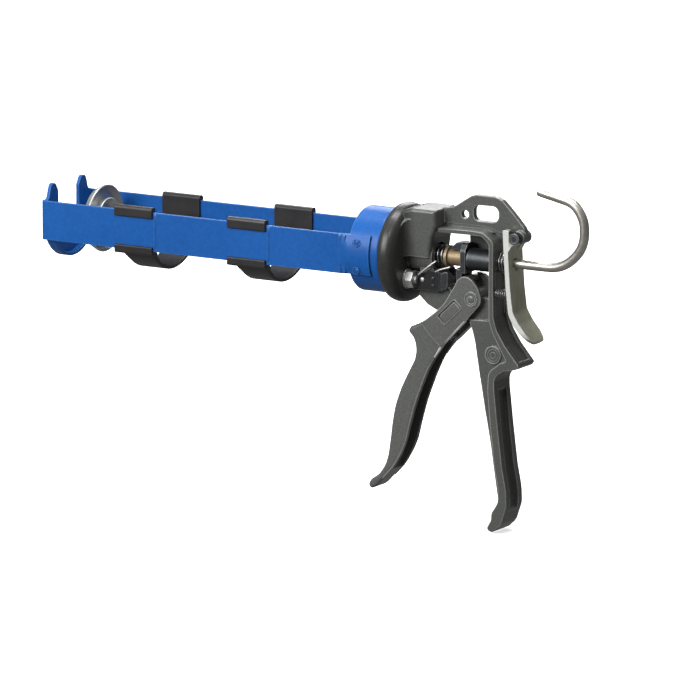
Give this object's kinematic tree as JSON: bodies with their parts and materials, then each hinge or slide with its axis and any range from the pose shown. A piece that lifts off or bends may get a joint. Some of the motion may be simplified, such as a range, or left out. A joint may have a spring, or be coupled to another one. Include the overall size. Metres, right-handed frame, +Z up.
{
  "type": "caulking gun",
  "caption": "Hand-squeezed caulking gun: skeleton cradle with front nozzle slot, thrust rod with hook, squeeze trigger, pistol grip and thumb release lever.",
  "frame": {"origin": "on the thrust rod's axis, in the mid-plane of the front plate, at the centre of the nozzle slot's round end", "axes": "+X rearward along the thrust rod towards the hook, +Z up away from the grip, +Y across the gun"},
  "size_m": [0.3833, 0.0624, 0.2186],
  "materials": {
    "powder_coat": "dark grey powder coat on die-cast alloy",
    "powder_coat_alloy": "dark grey powder coat on die-cast alloy",
    "blue_paint": "glossy blue paint on sheet steel",
    "saddle_plastic": "satin dark brown-grey plastic",
    "zinc": "bright zinc plate",
    "rod_steel": "drawn steel, lightly oiled",
    "blued_steel": "dark blued steel",
    "spring_steel": "oiled spring steel",
    "bronze": "sintered bronze",
    "red_fibre": "red fibre"
  },
  "bodies": {
    "body": {"body_casting": "powder_coat", "friction_washer": "red_fibre", "retainer_plate": "zinc", "retainer_screws": "zinc", "head_nuts": "zinc", "head_studs": "zinc", "head_washers": "zinc", "front_bush": "bronze", "rear_sleeve": "blued_steel", "trigger_pivot_pin": "blued_steel", "lever_hinge_pin": "blued_steel", "hinge_pin_clip": "blued_steel", "spring_peg": "zinc", "drive_spring": "spring_steel", "brake_spring": "spring_steel", "lever_spring": "spring_steel"},
    "carriage": {"front_plate": "blue_paint", "near_strap": "blue_paint", "far_strap": "blue_paint", "carriage_ring": "blue_paint", "strap_rivets": "blue_paint", "front_saddle": "saddle_plastic", "rear_saddle": "saddle_plastic"},
    "piston": {"piston_plate": "zinc", "piston_cup": "zinc"},
    "rod": {"thrust_rod": "rod_steel", "piston_nut": "zinc"},
    "driver": {"driver_block": "bronze", "driver_plate": "blued_steel"},
    "trigger": {"trigger": "powder_coat_alloy"},
    "lever": {"release_lever": "zinc"}
  },
  "joints": [
    {"name": "carriage_spin", "type": "hinge", "parent": "body", "child": "carriage", "pos_m": [0, 0, 0], "axis": [1, 0, 0], "continuous": true},
    {"name": "piston_slide", "type": "slide", "parent": "body", "child": "piston", "axis": [1, 0, 0], "range_m": [-0.012, 0.195]},
    {"name": "rod_spin", "type": "hinge", "parent": "piston", "child": "rod", "pos_m": [0.03, 0, 0], "axis": [1, 0, 0], "range_deg": [-150, 150]},
    {"name": "trigger_pivot", "type": "hinge", "parent": "body", "child": "trigger", "pos_m": [0.3033, 0, -0.0233], "axis": [0, -1, 0], "range_deg": [0, 26], "stiffness_Nm_per_rad": 0.25, "springref_deg": -28.65},
    {"name": "driver_slide", "type": "slide", "parent": "body", "child": "driver", "axis": [-1, 0, 0], "range_m": [0, 0.0042], "deforming": ["drive_spring"]},
    {"name": "lever_pivot", "type": "hinge", "parent": "body", "child": "lever", "pos_m": [0.3335, 0, 0.0172], "axis": [0, 1, 0], "range_deg": [0, 6], "stiffness_Nm_per_rad": 0.3, "springref_deg": -8.59, "deforming": ["brake_spring", "lever_spring"]}
  ],
  "couplings": [
    {"joint": "driver_slide", "follows": "trigger_pivot", "m_per_rad": 0.0088}
  ]
}
